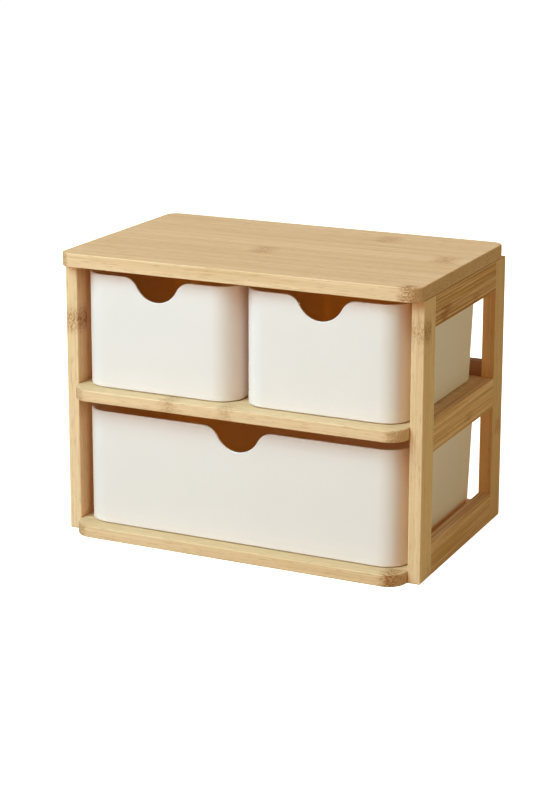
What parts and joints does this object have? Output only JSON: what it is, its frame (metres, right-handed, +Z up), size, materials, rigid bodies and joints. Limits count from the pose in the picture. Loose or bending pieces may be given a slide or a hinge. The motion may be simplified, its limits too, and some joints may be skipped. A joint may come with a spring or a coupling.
{
  "type": "desktop mini drawers",
  "caption": "Bamboo desktop organizer with open sides: small scooped-front plastic drawers side by side on a middle shelf, and a wide drawer below.",
  "frame": {"origin": "on the ground, under the middle of the footprint", "axes": "+Z up, +X to the right seen from the front, the drawers open towards -Y"},
  "size_m": [0.34, 0.2196, 0.2575],
  "materials": {
    "bamboo": "clear satin lacquer over sanded natural bamboo",
    "dowel_wood": "bare beech, glued in",
    "white_plastic": "moulded warm white, fine matte texture"
  },
  "bodies": {
    "frame": {"top_panel": "bamboo", "left_front_post": "bamboo", "left_rear_post": "bamboo", "left_top_rail": "bamboo", "left_mid_rail": "bamboo", "left_bottom_rail": "bamboo", "right_front_post": "bamboo", "right_rear_post": "bamboo", "right_top_rail": "bamboo", "right_mid_rail": "bamboo", "right_bottom_rail": "bamboo", "mid_shelf": "bamboo", "bottom_shelf": "bamboo", "rear_stop_bar": "bamboo", "left_rail_dowels": "dowel_wood", "right_rail_dowels": "dowel_wood", "mid_shelf_dowels": "dowel_wood", "bottom_shelf_dowels": "dowel_wood", "top_panel_dowels": "dowel_wood", "stop_bar_dowels": "dowel_wood"},
    "left_small_drawer": {"left_small_drawer": "white_plastic"},
    "right_small_drawer": {"right_small_drawer": "white_plastic"},
    "wide_drawer": {"wide_drawer": "white_plastic"}
  },
  "joints": [
    {"name": "left_small_drawer_slide", "type": "slide", "parent": "frame", "child": "left_small_drawer", "axis": [0, -1, 0], "range_m": [0, 0.17]},
    {"name": "right_small_drawer_slide", "type": "slide", "parent": "frame", "child": "right_small_drawer", "axis": [0, -1, 0], "range_m": [0, 0.17]},
    {"name": "wide_drawer_slide", "type": "slide", "parent": "frame", "child": "wide_drawer", "axis": [0, -1, 0], "range_m": [0, 0.17]}
  ]
}
